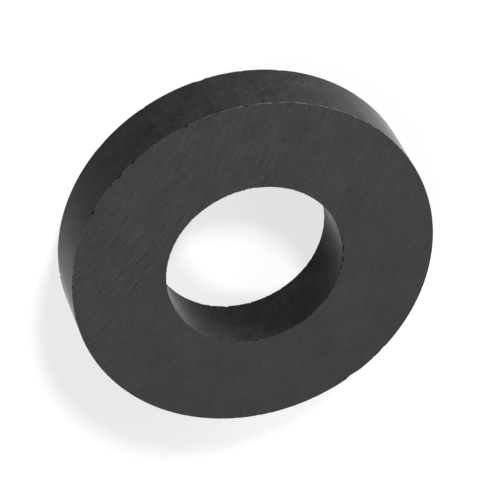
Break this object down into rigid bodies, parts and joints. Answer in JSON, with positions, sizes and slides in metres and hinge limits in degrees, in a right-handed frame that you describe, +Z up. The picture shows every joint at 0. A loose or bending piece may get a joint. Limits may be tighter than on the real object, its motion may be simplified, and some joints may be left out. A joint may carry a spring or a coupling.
{
  "type": "ring magnet",
  "caption": "Flat ring magnet of sintered hard ferrite, with a plain round bore through ground pole faces and small nicks along its edges.",
  "frame": {"origin": "centre of the lower pole face, on the axis of the bore", "axes": "+Z up along the bore's axis, from the lower pole face to the upper one; +X and +Y lie in the lower pole face"},
  "size_m": [0.045, 0.045, 0.008],
  "materials": {
    "ferrite": "satin"
  },
  "bodies": {
    "root": {"ring_magnet": "ferrite"}
  },
  "joints": []
}
